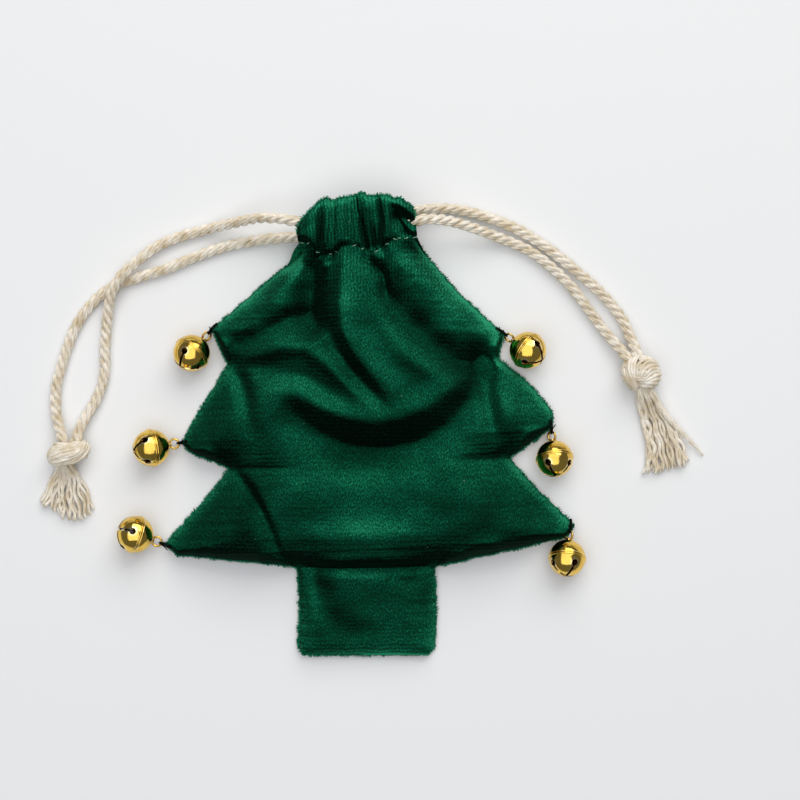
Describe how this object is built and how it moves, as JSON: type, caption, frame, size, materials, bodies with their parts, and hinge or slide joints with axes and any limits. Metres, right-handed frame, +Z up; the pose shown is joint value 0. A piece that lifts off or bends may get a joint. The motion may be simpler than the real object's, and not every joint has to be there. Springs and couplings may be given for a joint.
{
  "type": "drawstring gift pouch",
  "caption": "Dark green velour drawstring pouch cut as a fir tree, with twisted cotton drawstrings and small gold jingle bells at its tips.",
  "frame": {"origin": "middle of the pouch's underside, where it rests", "axes": "+Z up out of the surface it lies on, +Y towards the neck, +X to the right seen from above"},
  "size_m": [0.1777, 0.125, 0.017],
  "materials": {
    "front_velour": "dense short pile, soft sheen",
    "back_velour": "dense short pile, soft sheen",
    "stitch_thread": "spun polyester thread",
    "tie_thread": "spun polyester thread",
    "cotton_cord": "three-ply twisted cotton",
    "cotton_tassel": "frayed cotton yarn",
    "bell_gold": "bright plated, polished",
    "eye_wire": "bright plated wire",
    "steel_pellet": "plain"
  },
  "bodies": {
    "pouch": {"front_panel": "front_velour", "back_panel": "back_velour", "front_casing": "front_velour", "back_casing": "back_velour", "front_stitching": "stitch_thread", "back_stitching": "stitch_thread"},
    "left_drawstring": {"left_cord": "cotton_cord", "left_knot": "cotton_cord", "left_tassel": "cotton_tassel"},
    "right_drawstring": {"right_cord": "cotton_cord", "right_knot": "cotton_cord", "right_tassel": "cotton_tassel"},
    "upper_left_loop": {"upper_left_bell_thread": "tie_thread"},
    "upper_left_bell": {"upper_left_bell_crown": "bell_gold", "upper_left_bell_base": "bell_gold", "upper_left_bell_eye": "eye_wire"},
    "upper_left_pellet": {"upper_left_bell_pellet": "steel_pellet"},
    "middle_left_loop": {"middle_left_bell_thread": "tie_thread"},
    "middle_left_bell": {"middle_left_bell_crown": "bell_gold", "middle_left_bell_base": "bell_gold", "middle_left_bell_eye": "eye_wire"},
    "middle_left_pellet": {"middle_left_bell_pellet": "steel_pellet"},
    "lower_left_loop": {"lower_left_bell_thread": "tie_thread"},
    "lower_left_bell": {"lower_left_bell_crown": "bell_gold", "lower_left_bell_base": "bell_gold", "lower_left_bell_eye": "eye_wire"},
    "lower_left_pellet": {"lower_left_bell_pellet": "steel_pellet"},
    "upper_right_loop": {"upper_right_bell_thread": "tie_thread"},
    "upper_right_bell": {"upper_right_bell_crown": "bell_gold", "upper_right_bell_base": "bell_gold", "upper_right_bell_eye": "eye_wire"},
    "upper_right_pellet": {"upper_right_bell_pellet": "steel_pellet"},
    "middle_right_loop": {"middle_right_bell_thread": "tie_thread"},
    "middle_right_bell": {"middle_right_bell_crown": "bell_gold", "middle_right_bell_base": "bell_gold", "middle_right_bell_eye": "eye_wire"},
    "middle_right_pellet": {"middle_right_bell_pellet": "steel_pellet"},
    "lower_right_loop": {"lower_right_bell_thread": "tie_thread"},
    "lower_right_bell": {"lower_right_bell_crown": "bell_gold", "lower_right_bell_base": "bell_gold", "lower_right_bell_eye": "eye_wire"},
    "lower_right_pellet": {"lower_right_bell_pellet": "steel_pellet"}
  },
  "joints": [
    {"name": "left_drawstring_pull", "type": "slide", "parent": "pouch", "child": "left_drawstring", "axis": [-0.9945, -0.1045, 0], "range_m": [0, 0.004]},
    {"name": "right_drawstring_pull", "type": "slide", "parent": "pouch", "child": "right_drawstring", "axis": [0.9945, 0.1045, 0], "range_m": [0, 0.004]},
    {"name": "upper_left_loop_lift", "type": "hinge", "parent": "pouch", "child": "upper_left_loop", "pos_m": [-0.03775, 0.02601, 0.0022], "axis": [-0.7771, 0.6293, 0], "range_deg": [0, 60]},
    {"name": "upper_left_bell_swing", "type": "hinge", "parent": "upper_left_loop", "child": "upper_left_bell", "pos_m": [-0.03938, 0.02399, 0.0022], "axis": [0.5495, -0.445, 0.7071], "range_deg": [-45, 0]},
    {"name": "upper_left_pellet_roll", "type": "hinge", "parent": "upper_left_bell", "child": "upper_left_pellet", "pos_m": [-0.04314, 0.01935, 0.00502], "axis": [-0.569, -0.7026, 0.4273], "range_deg": [-120, 120]},
    {"name": "middle_left_loop_lift", "type": "hinge", "parent": "pouch", "child": "middle_left_loop", "pos_m": [-0.04561, -0.00473, 0.0022], "axis": [-0.1736, 0.9848, 0], "range_deg": [0, 60]},
    {"name": "middle_left_bell_swing", "type": "hinge", "parent": "middle_left_loop", "child": "middle_left_bell", "pos_m": [-0.04817, -0.00518, 0.0022], "axis": [0, 0, 1], "range_deg": [-45, 45]},
    {"name": "middle_left_pellet_roll", "type": "hinge", "parent": "middle_left_bell", "child": "middle_left_pellet", "pos_m": [-0.05404, -0.00622, 0.00502], "axis": [-0.8904, -0.157, 0.4273], "range_deg": [-120, 120]},
    {"name": "lower_left_loop_lift", "type": "hinge", "parent": "pouch", "child": "lower_left_loop", "pos_m": [-0.05043, -0.03264, 0.0022], "axis": [0.3584, 0.9336, 0], "range_deg": [0, 60]},
    {"name": "lower_left_bell_swing", "type": "hinge", "parent": "lower_left_loop", "child": "lower_left_bell", "pos_m": [-0.05285, -0.03171, 0.0022], "axis": [0, 0, 1], "range_deg": [-45, 45]},
    {"name": "lower_left_pellet_roll", "type": "hinge", "parent": "lower_left_bell", "child": "lower_left_pellet", "pos_m": [-0.05842, -0.02957, 0.00502], "axis": [-0.8441, 0.324, 0.4273], "range_deg": [-120, 120]},
    {"name": "upper_right_loop_lift", "type": "hinge", "parent": "pouch", "child": "upper_right_loop", "pos_m": [0.04068, 0.02514, 0.0022], "axis": [-0.5878, -0.809, 0], "range_deg": [0, 60]},
    {"name": "upper_right_bell_swing", "type": "hinge", "parent": "upper_right_loop", "child": "upper_right_bell", "pos_m": [0.04278, 0.02361, 0.0022], "axis": [-0.4156, -0.5721, 0.7071], "range_deg": [0, 45]},
    {"name": "upper_right_pellet_roll", "type": "hinge", "parent": "upper_right_bell", "child": "upper_right_pellet", "pos_m": [0.04761, 0.0201, 0.00502], "axis": [0.7315, -0.5314, 0.4273], "range_deg": [-120, 120]},
    {"name": "middle_right_loop_lift", "type": "hinge", "parent": "pouch", "child": "middle_right_loop", "pos_m": [0.05407, -0.0006, 0.0022], "axis": [-0.9962, -0.0872, 0], "range_deg": [0, 60]},
    {"name": "middle_right_bell_swing", "type": "hinge", "parent": "middle_right_loop", "child": "middle_right_bell", "pos_m": [0.05429, -0.00319, 0.0022], "axis": [-0.7044, -0.0616, 0.7071], "range_deg": [0, 45]},
    {"name": "middle_right_pellet_roll", "type": "hinge", "parent": "middle_right_bell", "child": "middle_right_pellet", "pos_m": [0.05481, -0.00914, 0.00502], "axis": [0.0788, -0.9007, 0.4273], "range_deg": [-120, 120]},
    {"name": "lower_right_loop_lift", "type": "hinge", "parent": "pouch", "child": "lower_right_loop", "pos_m": [0.05925, -0.0275, 0.0022], "axis": [-0.9925, 0.1219, 0], "range_deg": [0, 60]},
    {"name": "lower_right_bell_swing", "type": "hinge", "parent": "lower_right_loop", "child": "lower_right_bell", "pos_m": [0.05893, -0.03008, 0.0022], "axis": [-0.7018, 0.0862, 0.7071], "range_deg": [0, 45]},
    {"name": "lower_right_pellet_roll", "type": "hinge", "parent": "lower_right_bell", "child": "lower_right_pellet", "pos_m": [0.0582, -0.03601, 0.00502], "axis": [-0.1102, -0.8974, 0.4273], "range_deg": [-120, 120]}
  ]
}
